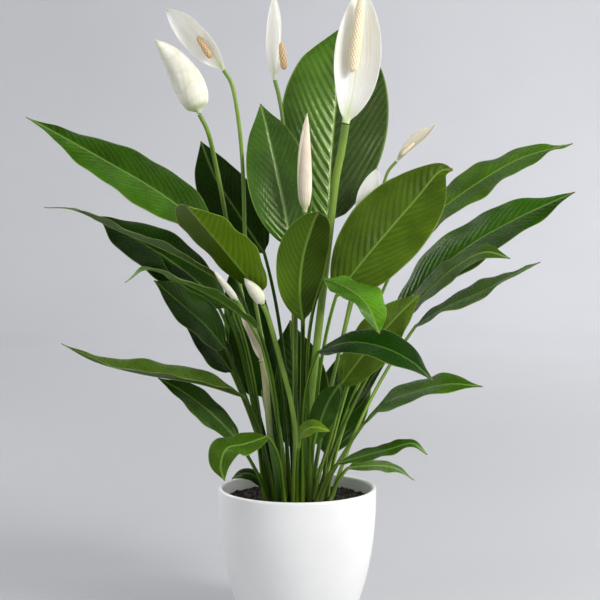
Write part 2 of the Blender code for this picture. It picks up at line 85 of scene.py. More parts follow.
# leaf_01 to leaf_34, in order.
LEAF_ROWS = (
    Leaf([(-76, 10, 233), (-128, 18, 270), (-177, 28, 298), (-219, 36, 321), (-251, 42, 338)],
         62, (0.2, -0.6, 0.75), fold=15, cup=-20, fall=1.25),
    Leaf([(-69, 5, 190), (-112, -4, 215), (-159, -16, 236), (-197, -30, 255), (-223, -42, 258)],
         40, (0, 0.1, 1), cup=-10, fall=1.1),
    Leaf([(-77, 46, 168), (-115, 56, 200), (-154, 70, 224), (-191, 86, 244)],
         60, (0.2, -0.6, 0.75)),
    Leaf([(-31, -50, 183), (-50, -68, 207), (-69, -88, 232), (-84, -116, 253), (-91, -142, 264)],
         64, (0.2, 0.3, 0.9), fold=14, fall=0.75),
    Leaf([(-35, -45, 152), (-67, -66, 178), (-101, -86, 197), (-127, -102, 208), (-145, -116, 198)],
         44, (0, 0, 1), fall=1.1),
    Leaf([(-65, -10, 128), (-83, -18, 151), (-106, -28, 173), (-127, -38, 193)],
         48, (0.3, -0.6, 0.7), fold=15),
    Leaf([(-4, 10, 219), (-12, 16, 256), (-20, 26, 294), (-28, 38, 328), (-34, 48, 350)],
         58, (0, -1, 0.4), fold=14),
    Leaf([(5, -45, 157), (2, -58, 186), (5, -75, 218), (13, -98, 246), (18, -122, 258)],
         44, (0, 0.6, 0.8), fold=14, fall=0.75),
    Leaf([(29, 44, 239), (32, 64, 298), (37, 82, 354), (43, 100, 396), (49, 112, 425)],
         102, (0, -1, 0.4), fold=14, fall=0.68),
    Leaf([(35, -10, 176), (59, -5, 207), (85, 5, 237), (109, 12, 264), (129, 18, 287),
          (142, 20, 290)], 74, (-0.1, -1, 0.5), fold=18, fall=0.8),
    Leaf([(101, 60, 218), (135, 72, 250), (174, 86, 277), (215, 100, 299), (266, 114, 313)],
         52, (-0.2, -0.4, 0.9)),
    Leaf([(90, 20, 159), (122, 15, 192), (159, 10, 222), (202, 5, 247), (251, 0, 270)],
         60, (-0.2, -0.55, 0.8)),
    Leaf([(94, -15, 157), (119, -22, 184), (142, -30, 205), (166, -38, 218), (188, -44, 213)],
         34, (-0.2, -0.45, 0.85)),
    Leaf([(106, -25, 151), (131, -38, 169), (161, -54, 184), (187, -70, 200), (209, -84, 213)],
         48, (0, -0.35, 0.9), fall=1.1),
    Leaf([(39, -5, 94), (62, -15, 126), (87, -25, 157), (110, -33, 181)], 44, (-0.25, -0.9, 0.5)),
    Leaf([(23, -66, 197), (42, -88, 191), (59, -110, 179), (69, -128, 156)],
         45, (0, 0, 1), fold=16),
    Leaf([(18, -54, 131), (46, -66, 141), (74, -76, 138), (98, -84, 127), (117, -90, 111)],
         50, (0.1, -0.4, 0.9)),
    Leaf([(59, -40, 65), (78, -54, 85), (101, -70, 97), (130, -86, 107), (159, -98, 107)],
         45, (0, -0.4, 0.9)),
    Leaf([(47, 4, 67), (59, 3, 85), (70, 2, 103), (81, 2, 115)], 14, (-0.3, -0.6, 0.7)),
    Leaf([(36, -45, 30), (56, -52, 37), (82, -62, 46), (101, -68, 52), (114, -72, 43)],
         20, (0, -0.5, 0.9)),
    Leaf([(46, -20, 21), (66, -10, 21), (88, 2, 17), (108, 10, 4)], 22, (0, -0.4, 0.9)),
    Leaf([(-48, -34, 89), (-86, -50, 103), (-137, -66, 114), (-175, -78, 126), (-203, -88, 143)],
         48, (0, -0.15, 1), fold=24, cup=-10, fall=1.15),
    Leaf([(-52, -20, 44), (-74, -24, 68), (-98, -30, 89), (-124, -38, 106)], 32, (0.2, -0.6, 0.75)),
    Leaf([(-26, -55, 56), (-46, -66, 51), (-61, -76, 49), (-66, -84, 36), (-63, -88, 23)],
         34, (-0.3, -0.6, 0.8)),
    Leaf([(1, -52, 45), (4, -58, 59), (15, -64, 66), (29, -68, 63)], 20, (-0.2, -0.5, 0.8)),
    Leaf([(37, -25, 97), (28, -29, 83), (20, -33, 63), (15, -35, 44)], 24, (-0.1, -1, 0.2)),
    Leaf([(-31, 62, 210), (-56, 76, 247), (-78, 94, 280), (-93, 110, 315)], 52, (0, -1, 0.3)),
    Leaf([(-66, 18, 163), (-97, 22, 191), (-127, 26, 213)], 40, (0.2, -0.6, 0.75)),
    Leaf([(-39, 22, 79), (-44, 22, 105), (-50, 22, 133), (-60, 23, 161)], 33, (0.1, -1, 0.3)),
    Leaf([(-33, 14, -3), (-40, 16, 7), (-50, 16, 9), (-61, 15, 4)], 16, (0, -0.5, 0.8)),
    Leaf([(-60, 6, 105), (-75, 3, 126), (-90, -1, 145), (-106, -4, 162)], 40, (0.3, -0.6, 0.7)),
    Leaf([(2, 66, 20), (0, 80, 60), (-3, 92, 100), (-7, 106, 142)], 64, (0, -1, 0.3)),
    Leaf([(27, 64, 17), (39, 92, 51), (51, 108, 88), (63, 122, 123)], 54, (0, -1, 0.3)),
    Leaf([(-29, 40, 74), (-42, 52, 120), (-51, 67, 166), (-58, 84, 210)], 46, (0, -0.5, 1)),
)
LEAVES = {f"leaf_{number:02d}": leaf for number, leaf in enumerate(LEAF_ROWS, 1)}

FLOWERS = (
    Flower(1, [(-65, 58, 233), (-73, 40, 282), (-81, 22, 322), (-89, 18, 340)], 2.0,
           [(-89, 18, 341), (-98, 22, 364), (-112, 22, 388), (-128, 16, 407)], 29),
    Flower(2, [(-49, 42, 231), (-50, 36, 282), (-53, 25, 328), (-59, 22, 365), (-67, 20, 380)], 1.8,
           [(-67, 20, 381), (-82, 20, 402), (-100, 20, 421), (-119, 20, 435)],
           34, (-0.5, -1, -0.3), 120, ((-78, 14, 391), (-90, 12, 410), 3.2)),
    Flower(3, [(-7, 46, 261), (-13, 50, 330), (-17, 54, 356), (-21, 57, 372)], 1.8,
           [(-21, 58, 373), (-28, 58, 398), (-27, 58, 428), (-22, 58, 451)],
           42, (1, -0.1, 0), 165, ((-12, 57, 382), (-15, 57, 407), 3.4)),
    Flower(4, [(30, 20, 238), (35, 20, 280), (40, 19, 306), (44, 18, 331)], 3.6,
           [(44, 18, 332), (52, 20, 366), (56, 24, 409), (59, 30, 455)],
           47, (0, -1, 0.1), 90, ((50, 13, 378), (58, 17, 446), 5.2)),
    Flower(5, [(5, -15, 146), (7, -4, 251)], 2.0,
           [(7, -4, 252), (7, -4, 272), (7, -2, 308), (9, 0, 341)], 13),
    Flower(6, [(78, 46, 268), (84, 46, 287), (92, 46, 297)], 1.4,
           [(93, 46, 298), (105, 46, 311), (129, 46, 331)],
           14, (-0.3, -1, 0.6), 130, ((96, 40, 303), (108, 40, 314), 1.8)),
    Flower(7, [(56, 28, 205), (60, 28, 234)], 1.6,
           [(60, 28, 236), (63, 30, 262), (74, 34, 291)], 22, (0.2, -1, 0.3), 110),
    Flower(8, [(-2, -42, 63), (-7, -50, 93), (-17, -60, 133), (-25, -64, 162), (-30, -66, 174)],
           2.2, [(-30, -66, 175), (-35, -67, 184), (-46, -70, 198)], 11.5),
    Flower(9, [(-32, -17, 133), (-54, -14, 173)], 1.6,
           [(-54, -14, 173), (-65, -15, 187), (-75, -16, 200)], 6.5),
    Flower(10, [(-25, -12, 53), (-30, -9, 107), (-32, -8, 116)], 3.0,
           [(-32, -8, 117), (-37, -7, 138), (-45, -5, 153), (-52, -4, 163)],
           14, (-0.4, -1, 0.1), 150),
)

# How each leaf looks: its colour, its own green made darker by painted shade on leaves that lie in
# shade, the height and length of its edge waves in mm and, if they differ, how much painted light
# and shade falls left and right of its midrib. The rest are deep in the plant, in painted shade.
LEAF_LOOKS = {
    "leaf_01": ((0.036, 0.112, 0.003), 1.6, 75, 1.2, 0.6),
    "leaf_02": ((0.055, 0.105, 0.012), 1.2, 60, 0.9, 1.1),
    "leaf_03": ((0.01, 0.037, 0.0014), 1.6, 70),
    "leaf_04": ((0.12, 0.21, 0.002), 1.6, 62, 1.3, 0.5),
    "leaf_05": ((0.05, 0.135, 0.004), 1.5, 52),
    "leaf_06": ((0.013, 0.046, 0.0014), 1.6, 66),
    "leaf_07": ((0.03, 0.098, 0.002), 1.2, 80, 1.1, 0.9),
    "leaf_08": ((0.07, 0.14, 0.002), 1, 60, 0.38, 1.25),
    "leaf_09": ((0.04, 0.108, 0.004), 1.4, 90, 1.4, 0.42),
    "leaf_10": ((0.062, 0.118, 0.004), 1.4, 80, 0.8, 1.15),
    "leaf_11": ((0.044, 0.115, 0.0021), 2.2, 72, 1.1, 0.9),
    "leaf_12": ((0.022, 0.08, 0.001), 1.8, 80, 1.2, 0.7),
    "leaf_13": ((0.05, 0.11, 0.008), 1.2, 50),
    "leaf_14": ((0.05, 0.12, 0.0049), 1.8, 60),
    "leaf_15": ((0.105, 0.19, 0.01), 1.5, 52),
    "leaf_16": ((0.056, 0.165, 0.002), 2.2, 44, 1.4, 0.7),
    "leaf_17": ((0.006, 0.036, 0.0006), 1.2, 70),
    "leaf_18": ((0.05, 0.138, 0.0035), 1.4, 60),
    "leaf_19": ((0.015, 0.055, 0.0017), 0.6, 50),
    "leaf_20": ((0.037, 0.11, 0.0035), 1, 36),
    "leaf_21": ((0.062, 0.138, 0.0056), 1, 40),
    "leaf_22": ((0.06, 0.12, 0.008), 1.4, 70, 0.55, 1.1),
    "leaf_23": ((0.022, 0.074, 0.0021), 1.4, 50),
    "leaf_24": ((0.05, 0.12, 0.0035), 1.5, 40, 1.1, 0.8),
    "leaf_25": ((0.106, 0.193, 0.0035), 1.2, 32),
    "leaf_26": ((0.025, 0.092, 0.0017), 1, 40),
    "leaf_27": ((0.007, 0.026, 0.001), 1.2, 70),
}
GLOSSY_LEAVES = ("leaf_07", "leaf_09")
# A leaf deep in the plant: its dark green is painted shade.
DEEP_LEAF_IN_SHADE = ((0.01, 0.036, 0.0015), 1.5, 60)


# ---- curves, in numpy

def unit(rows):
    return rows / np.maximum(np.linalg.norm(rows, axis=-1, keepdims=True), 1e-12)


def smooth(share):
    share = np.clip(share, 0, 1)
    return share * share * (3 - 2 * share)


def place(point):
    x, y, z = point
    return np.array((x * MM, y * MM, POT_HEIGHT + z * MM))


def hermite(start, slope_in, end, slope_out, share):
    square = share * share
    cube = square * share
    return (
        start * (2 * cube - 3 * square + 1) + slope_in * (cube - 2 * square + share)
        + end * (3 * square - 2 * cube) + slope_out * (cube - square)
    )


def spline(points, share):
    spans = len(points) - 1
    index = min(int(share * spans), spans - 1)
    before = points[index - 1] if index > 0 else 2 * points[0] - points[1]
    start, end = points[index], points[index + 1]
    after = points[index + 2] if index + 2 <= spans else 2 * points[-1] - points[-2]
    return hermite(start, (end - before) / 2, end, (after - start) / 2, share * spans - index)


def travelled(line):
    """How far along the line each of its points is."""
    steps = np.linalg.norm(np.diff(line, axis=0), axis=1)
    return np.concatenate(([0], np.cumsum(steps)))


def at_shares(points, shares):
    """Points at the given shares of the length of the smooth curve through the given ones."""
    fine = np.array([spline(points, step / 240) for step in range(241)])
    reached = travelled(fine)
    wanted = np.asarray(shares) * reached[-1]
    return np.column_stack([np.interp(wanted, reached, fine[:, axis]) for axis in range(3)])


def turn_onto(vector, start, end):
    """The vector turned as start has to turn to point along end."""
    turn = Vector(start).rotation_difference(Vector(end))
    return np.array(turn @ Vector(vector))


def frames(line, face, anchor):
    """Sides and normals along a line, turned as little as possible between points."""
    along = unit(np.gradient(line, axis=0))
    normals = np.zeros_like(line)
    normals[anchor] = unit(face - along[anchor] * (face @ along[anchor]))
    for index in range(anchor + 1, len(line)):
        normals[index] = turn_onto(normals[index - 1], along[index - 1], along[index])
    for index in range(anchor - 1, -1, -1):
        normals[index] = turn_onto(normals[index + 1], along[index + 1], along[index])
    return unit(np.cross(along, normals)), normals


def outline(share, rise, fall):
    """A width from 0 up to 1 and down to 0: the larger the power, the more pointed that end."""
    peak = rise / (rise + fall)
    return (share / peak) ** rise * ((1 - share) / (1 - peak)) ** fall


def cupped(reach, turn):
    """How far out and how far up a section gets that is this long and bends through this turn."""
    rise = np.where(turn == 0, 0, (1 - np.cos(turn)) / np.where(turn == 0, 1, turn))
    return reach * np.sinc(turn / math.pi), reach * rise


# ---- roots in the crown

def root_spots():
    """Where each shoot leaves the soil: out towards where it leans, then pushed apart."""
    shoots = [(name, place(leaf.midrib[0])) for name, leaf in LEAVES.items()]
    shoots += [(f"flower_stem_{flower.number}", place(flower.stem[0])) for flower in FLOWERS]
    names = []
    spots = []
    for name, point in shoots:
        out = Vector((point[0], point[1]))
        lean = out.length / (point[2] - SOIL_TOP)
        names.append(name)
        spots.append(out.normalized() * CROWN_RADIUS * lean / (lean + ROOT_LEAN))
    for _ in range(SETTLING_ROUNDS):
        push_apart(spots)
    return dict(zip(names, spots))


def push_apart(spots):
    for first in range(len(spots)):
        for second in range(first + 1, len(spots)):
            apart = spots[second] - spots[first]
            short = ROOT_SPACING - apart.length
            if short > 0:
                step = apart.normalized() * (short / 2)
                spots[first] -= step
                spots[second] += step
    for spot in spots:
        if spot.length > CROWN_RADIUS:
            spot *= CROWN_RADIUS / spot.length


def shoot_line(spot, points, spans):
    """The line of a petiole or stem from its root up to just below the first of the points."""
    root = np.array((spot.x, spot.y, SOIL_TOP + GAP))
    top = points[0]
    reach = np.linalg.norm(top - root)
    leaving = unit(points[1] - points[0])
    lean = unit(top - root)
    rising = unit(np.array((0, 0, ROOT_UPRIGHT)) + lean)
    arriving = unit(leaving * BLADE_PULL + lean)
    return np.array([
        hermite(root, rising * reach, top, arriving * reach, step / spans) for step in range(spans)
    ])


# ---- meshes

def add_mesh(name, points, faces, material, marks=None, sharp=70):
    """A smooth piece from points and faces. marks are named sets of three numbers per point."""
    mesh = bpy.data.meshes.new(name)
    mesh.from_pydata(np.asarray(points).tolist(), [], faces)
    mesh.materials.append(material)
    for mark, values in (marks or {}).items():
        attribute = mesh.attributes.new(mark, "FLOAT_VECTOR", "POINT")
        attribute.data.foreach_set("vector", np.asarray(values, np.float32).ravel())
    mesh.shade_smooth()
    mesh.set_sharp_from_angle(angle=math.radians(sharp))
    mesh.validate()
    piece = bpy.data.objects.new(name, mesh)
    bpy.context.scene.collection.objects.link(piece)
    return piece


def stand_for(piece, node):
    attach(piece, BODY)
    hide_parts(node)


def loft_faces(rows, columns, closed_ends=True):
    """Quads between rings of equally many points, and a face over each end."""
    faces = []
    for row in range(rows - 1):
        low = row * columns
        high = low + columns
        for column in range(columns):
            after = (column + 1) % columns
            faces.append((low + column, low + after, high + after, high + column))
    if closed_ends:
        faces.append(tuple(range(columns - 1, -1, -1)))
        faces.append(tuple(range((rows - 1) * columns, rows * columns)))
    return faces


def loft(name, rings, material, marks=None, sharp=80, ending="_grown"):
    """A closed piece through rings of points, which stands for the node of this name."""
    rows, columns, _ = rings.shape
    faces = loft_faces(rows, columns)
    piece = add_mesh(name + ending, rings.reshape(-1, 3), faces, material, marks, sharp)
    stand_for(piece, name)


def arms(side, normal, angles):
    """Unit directions across a line, at these angles from its side towards its normal."""
    return np.outer(np.cos(angles), side) + np.outer(np.sin(angles), normal)


def sheet_angles(columns):
    """Angles round a stalk that match a sheet's section: over its top, then back below."""
    count = 2 * columns
    return math.pi - (np.arange(count) + 0.5) * TURN / count


def sheet_ring(centre, side, normal, across, lift, slope, above, below):
    """The section of a sheet this thick above and below its middle, like sheet_angles."""
    up = np.outer(np.cos(slope), normal) - np.outer(np.sin(slope), side)
    middle = centre + np.outer(across, side) + np.outer(lift, normal)
    lower = middle - up * below[:, None]
    return np.concatenate((middle + up * above[:, None], lower[::-1]))


def both_faces(values):
    """Numbers across a sheet, for its upper face and then back along its lower one."""
    return np.concatenate((values, values[::-1]))


# ---- node graphs

class Graph:
    """Builds a material's nodes from plain expressions."""

    def __init__(self, name):
        self.material = bpy.data.materials.new(name)
        self.material.use_nodes = True
        self.tree = self.material.node_tree
        self.shader = self.tree.nodes["Principled BSDF"]
        self.coordinates = None

    def node(self, kind, **settings):
        made = self.tree.nodes.new(kind)
        for key, value in settings.items():
            setattr(made, key, value)
        return made

    def feed(self, socket, value):
        if hasattr(value, "is_output"):
            self.tree.links.new(value, socket)
        else:
            socket.default_value = value

    def maths(self, operation, *values):
        made = self.node("ShaderNodeMath", operation=operation)
        for socket, value in zip(made.inputs, values):
            self.feed(socket, value)
        return made.outputs[0]

    def add(self, first, second):
        return self.maths("ADD", first, second)

    def times(self, first, second):
        return self.maths("MULTIPLY", first, second)

    def split(self, vector):
        made = self.node("ShaderNodeSeparateXYZ")
        self.feed(made.inputs[0], vector)
        return made.outputs

    def mark(self, name):
        """The three numbers of a point mark."""
        return self.split(self.node("ShaderNodeAttribute", attribute_name=name).outputs["Vector"])

    def object_place(self):
        if self.coordinates is None:
            self.coordinates = self.node("ShaderNodeTexCoord")
        return self.coordinates.outputs["Object"]

    def noise(self, scale, detail=3, roughness=0.5, place=None):
        made = self.node("ShaderNodeTexNoise")
        self.feed(made.inputs["Vector"], place or self.object_place())
        made.inputs["Scale"].default_value = scale
        made.inputs["Detail"].default_value = detail
        made.inputs["Roughness"].default_value = roughness
        return made.outputs["Fac"]

    def streaks(self, across, along, seed=0.0, detail=2, roughness=0.5):
        """Noise drawn out along a surface whose two scaled coordinates are given."""
        flow = self.node("ShaderNodeCombineXYZ")
        for socket, value in zip(flow.inputs, (across, along, seed)):
            self.feed(socket, value)
        return self.noise(1.0, detail, roughness, flow.outputs[0])

    def spread(self, value, low, high, to_low=0.0, to_high=1.0):
        """The value moved from one range to another, held and eased at its ends."""
        made = self.node("ShaderNodeMapRange", interpolation_type="SMOOTHSTEP")
        for socket, number in zip(made.inputs[:5], (value, low, high, to_low, to_high)):
            self.feed(socket, number)
        return made.outputs[0]

    def mix(self, share, first, second, blend="MIX"):
        made = self.node("ShaderNodeMix", data_type="RGBA", blend_type=blend)
        self.feed(made.inputs[0], share)
        for socket, value in ((made.inputs[6], first), (made.inputs[7], second)):
            self.feed(socket, value if hasattr(value, "is_output") else (*value, 1))
        return made.outputs[2]

    def dimmed(self, colour, amount):
        """The colour times one number that varies over the surface."""
        grey = self.node("ShaderNodeCombineColor")
        for socket in grey.inputs:
            self.feed(socket, amount)
        return self.mix(1.0, colour, grey.outputs[0], "MULTIPLY")

    def bump(self, height, distance, strength):
        made = self.node("ShaderNodeBump")
        self.feed(made.inputs["Height"], height)
        made.inputs["Distance"].default_value = distance
        made.inputs["Strength"].default_value = strength
        self.tree.links.new(made.outputs[0], self.shader.inputs["Normal"])

    def finish(self, colour, roughness, **constants):
        self.feed(self.shader.inputs["Base Color"], colour)
        self.feed(self.shader.inputs["Roughness"], roughness)
        for key, value in constants.items():
            self.shader.inputs[key.replace("_", " ")].default_value = value
        return self.material


def shaded(colour, amount):
    return tuple(min(channel * amount, 1) for channel in colour)


def blended(first, second, share):
    return tuple(a + (b - a) * share for a, b in zip(first, second))


# ---- leaf material

VEIN_LEAN = 1.1  # how far a vein runs towards the tip for each mm out, at the midrib
VEIN_BEND = 0.8  # how much further that is halfway out to the widest edge
DARK_LEAF = 0.06  # a leaf with less green than this is in the shade
BLOTCH_SCALE, MOTTLE_SCALE = 30, 420
YELLOW_GREEN = (0.32, 0.42, 0.08)
PALE_GREEN = (0.26, 0.4, 0.09)
UNDERSIDE = (0.09, 0.17, 0.02)
DRY_BROWN = (0.16, 0.1, 0.045)
# A stalk's deep, bright and pale streaks, with painted shade in the middle of the crown and
# painted sunlight to its right.
STALK_SHADED = ((0.014, 0.06, 0.002), (0.075, 0.185, 0.008), (0.19, 0.31, 0.03))
STALK_SUNNY = ((0.07, 0.18, 0.008), (0.25, 0.43, 0.045), (0.42, 0.56, 0.14))
# Steps of painted shade between the stalks of the crown.
STALK_SHADE_STEPS = 7  # from the darkest stalk to the lightest, in turn


def vein_spacing(leaf):
    """How far apart side veins leave the midrib, in mm: wider apart on a wider leaf."""
    return 4.5 + 0.075 * leaf.width


def vein_phase(graph, out, along, leaf):
    """Whole numbers along the side veins, which leave the midrib and bend towards the tip."""
    reach = graph.maths("ABSOLUTE", out)
    lean = graph.times(reach, VEIN_LEAN)
    bend = graph.times(graph.times(reach, reach), VEIN_BEND * 2 / leaf.width)
    start = graph.maths("SUBTRACT", along, graph.add(lean, bend))
    return graph.maths("DIVIDE", start, vein_spacing(leaf))


def ridges(graph, phase):
    """1 on each whole number of the phase and 0 halfway between."""
    part = graph.maths("FRACT", phase)
    return graph.maths("ABSOLUTE", graph.maths("SUBTRACT", graph.times(part, 2), 1))


def stalk_colour(graph, margin, along, share, spot, number):
    """Lengthwise streaks: painted shade deep in the middle of the crown, painted sunlight
    yellow-green to its right.
    """
    streaks = graph.streaks(
        graph.times(margin, 3.5), graph.times(along, 0.012), 3.7 * number, 3, 0.55
    )
    # Painted light: stalks right of the crown's middle are sunlit yellow-green.
    sunny = float(smooth((spot.x / CROWN_RADIUS - 0.1) / 0.6))
    # Painted shade: each stalk darkened by its own step, from the darkest to the lightest in turn.
    tone = number * 3 % STALK_SHADE_STEPS / (STALK_SHADE_STEPS - 1)
    shade = (0.3 + 0.6 * tone) * (1 + 0.5 * sunny)
    deep, bright, pale = (
        shaded(blended(dim, lit, sunny), shade) for dim, lit in zip(STALK_SHADED, STALK_SUNNY)
    )
    base = graph.mix(graph.spread(streaks, 0.4, 0.62), deep, bright)
    edge = graph.times(graph.spread(margin, 0.62, 0.95), 0.55)
    base = graph.mix(edge, base, pale)
    return graph.mix(graph.spread(share, -0.75, -1.0, 0, 0.45), base, pale)


def flesh_colour(graph, colour, blotches, mottle, upper):
    """The blade's own green: blotched, finely mottled and duller underneath."""
    base = graph.mix(graph.spread(blotches, 0.34, 0.66), shaded(colour, 0.72), shaded(colour, 1.3))
    base = graph.mix(graph.spread(mottle, 0.35, 0.65, 0, 0.18), base, shaded(colour, 0.55))
    lower = blended(shaded(colour, 1.15), UNDERSIDE, 0.3)
    return graph.mix(graph.spread(upper, 0.35, 0.65), lower, base)


def veins_with_groove_shade(graph, base, colour, phase, fine, on_blade):
    """Painted shade in the groove beside each side vein, pale along the vein itself, with fine
    veins between.
    """
    ridge = ridges(graph, phase)
    # Painted shade: darker in the groove beside each side vein.
    base = graph.mix(graph.spread(ridge, 0.1, 0.9, 0, 0.45), base, shaded(colour, 0.35))
    base = graph.mix(graph.times(fine, 0.14), base, shaded(colour, 0.5))
    veins = graph.times(graph.spread(ridge, 0.88, 0.98, 0, 0.42), on_blade)
    return graph.mix(veins, base, blended(shaded(colour, 1.9), PALE_GREEN, 0.22))


def leaf_material(name, leaf, colour, half_light_levels, spot, number):
    """A veined blade with a pale midrib, a painted highlight along its edge and a dry tip, on a
    streaked stalk; its halves and vein grooves carry painted light and shade.
    """
    graph = Graph(name)
    out, along, upper = graph.mark("blade")
    margin, share, _ = graph.mark("part")
    phase = vein_phase(graph, out, along, leaf)
    fine = ridges(graph, graph.times(phase, 6))
    on_blade = graph.spread(share, 0.0, 0.06)
    blotches = graph.noise(BLOTCH_SCALE, 4, 0.6)
    mottle = graph.noise(MOTTLE_SCALE, 3, 0.6)
    glossy = name in GLOSSY_LEAVES
    dark = colour[1] <= DARK_LEAF

    base = flesh_colour(graph, colour, blotches, mottle, upper)
    # Painted light and shade: one half of the blade lighter than the other, as the lamp falls on
    # it.
    painted_half_light = graph.dimmed(base, graph.spread(out, -2.5, 2.5, *half_light_levels))
    base = graph.mix(on_blade, base, painted_half_light)
    base = veins_with_groove_shade(graph, base, colour, phase, fine, on_blade)
    rib = graph.spread(graph.maths("ABSOLUTE", out), 1.6, 0.4, 0, 0.55 if dark else 0.8)
    base = graph.mix(rib, base, blended(shaded(colour, 1.5), PALE_GREEN, 0.5))
    # Painted highlight: a thin pale line along the blade's edge.
    edge = graph.times(graph.spread(margin, 0.955, 0.995, 0, 0.8), on_blade)
    base = graph.mix(edge, base, blended(shaded(colour, 1.3), YELLOW_GREEN, 0.5))
    stalk = stalk_colour(graph, margin, along, share, spot, number)
    base = graph.mix(graph.spread(share, -0.05, 0.06), stalk, base)
    tip = graph.spread(graph.add(share, graph.times(blotches, 0.02)), 0.985, 0.998)
    base = graph.mix(tip, base, DRY_BROWN)

    smoothest, roughest = (0.2, 0.28) if glossy else (0.24, 0.36)
    gloss = graph.spread(mottle, 0.3, 0.7, smoothest, roughest)
    rough = graph.add(gloss, graph.spread(upper, 0.65, 0.35, 0, 0.16))
    graph.bump(graph.add(graph.times(fine, 0.5), graph.times(mottle, 0.35)), 0.12 * MM, 0.7)
    sheen = 0.65 if glossy else 0.09 if dark else 0.2
    return graph.finish(base, rough, Specular_IOR_Level=sheen, Specular_Tint=(0.9, 1.0, 0.6, 1))


# ---- leaves

PETIOLE_ROWS = 26
FEWEST_ROWS = 30  # along a blade
ROW_STEP = 1.9  # mm between rows along a blade
COLUMN_STEP = 1.8  # and between columns across it
BLADE_THICKNESS = 0.55 * MM
BLADE_END = 0.992  # where the tip stops narrowing
VEIN_HEIGHT = 0.018  # of the leaf's width
SHEATH_FLARE = 0.25  # how much broader a stalk is at its root
CHANNEL_DEPTH = 0.22  # of a stalk's radius


def blade_outline(share, fall):
    """Half-width share of a blade: widest before the middle, drawn out to a thin tip."""
    tip = smooth((share - TIP_START) / (1 - TIP_START))
    return outline(share, BLADE_RISE, fall) * (1 - TIP_TAPER * tip)


def columns_across(leaf):
    """Where a blade's points lie across it, from -1 to 1: closest at the midrib and the edges."""
    count = max(7, round(leaf.width / 2 / COLUMN_STEP))
    half = np.concatenate(([0, 0.02, 0.045], np.linspace(0.08, 0.93, count), [0.965, 1]))
    return np.concatenate((-half[:0:-1], half))


def leaf_course(leaf, spot):
    """The leaf's line from its root, its blade's shares, its sides and normals, and mm along."""
    points = [place(point) for point in leaf.midrib]
    length = sum(np.linalg.norm(high - low) for low, high in zip(points, points[1:])) / MM
    shares = np.linspace(0, 1, max(FEWEST_ROWS, round(length / ROW_STEP)))
    line = np.concatenate((shoot_line(spot, points, PETIOLE_ROWS), at_shares(points, shares)))
    anchor = PETIOLE_ROWS + int(np.searchsorted(shares, 0.5))
    sides, normals = frames(line, np.array(leaf.face, float), anchor)
    along = travelled(line) / MM
    return line, shares, sides, normals, along - along[PETIOLE_ROWS]


def make_leaf(name, leaf, spot, number):
    colour, wave_height, wave_length, *painted_half_light = LEAF_LOOKS.get(name, DEEP_LEAF_IN_SHADE)
    waves = edge_waves(random.Random(number), wave_height, wave_length)
    line, shares, sides, normals, along = leaf_course(leaf, spot)
    across = columns_across(leaf)
    columns = len(across)
    rings = np.array([
        petiole_ring(line[row], sides[row], normals[row], min(row / PETIOLE_ROWS, 1), columns)
        for row in range(len(line))
    ])
    rings[0, :, 2] = SOIL_TOP + GAP
    blade_marks = np.zeros_like(rings)
    part_marks = np.zeros_like(rings)
    for row, share in enumerate(shares, PETIOLE_ROWS):
        half = leaf.width * MM / 2 * blade_outline(min(share, BLADE_END), leaf.fall)
        shape = blade_shape(leaf, across, half, share, along[row], waves(along[row]))
        blade = sheet_ring(line[row], sides[row], normals[row], *shape)
        rings[row] += (blade - rings[row]) * smooth(share / 0.05)
        blade_marks[row, :, 0] = both_faces(np.sign(across) * half * np.abs(across)) / MM
    blade_marks[:, :, 1] = along[:, None]
    blade_marks[:, :columns, 2] = 1
    part_marks[:, :, 0] = both_faces(np.abs(across))
    on_stalk = np.arange(PETIOLE_ROWS) / PETIOLE_ROWS - 1
    part_marks[:, :, 1] = np.concatenate((on_stalk, shares))[:, None]
    material = leaf_material(name, leaf, colour, painted_half_light or (1, 1), spot, number)
    loft(name, rings, material, {"blade": blade_marks, "part": part_marks})


def petiole_ring(centre, side, normal, low, columns):
    """A round stalk, broader where it sheathes at its root, with a shallow channel on top."""
    angles = sheet_angles(columns)
    radius = ROOT_RADIUS + (PETIOLE_RADIUS - ROOT_RADIUS) * low
    radius *= 1 + SHEATH_FLARE * (1 - smooth(low / 0.3))
    channel = 1 - CHANNEL_DEPTH * np.exp(-((angles - math.pi / 2) / 0.5) ** 2)
    return centre + arms(side, normal, angles) * (radius * channel)[:, None]


def edge_waves(rng, height, length):
    """How far the left and right edges of a blade lift, as a function of how far along it is."""
    phases = [rng.uniform(0, TURN) for _ in range(4)]
    stretch = [rng.uniform(0.8, 1.25) for _ in range(2)]

    def lift(along):
        turns = TURN * along / length
        left = math.sin(turns * stretch[0] + phases[0]) + 0.4 * math.sin(turns * 2.3 + phases[2])
        right = math.sin(turns * stretch[1] + phases[1]) + 0.4 * math.sin(turns * 2.1 + phases[3])
        return height * MM * left, height * MM * right
    return lift


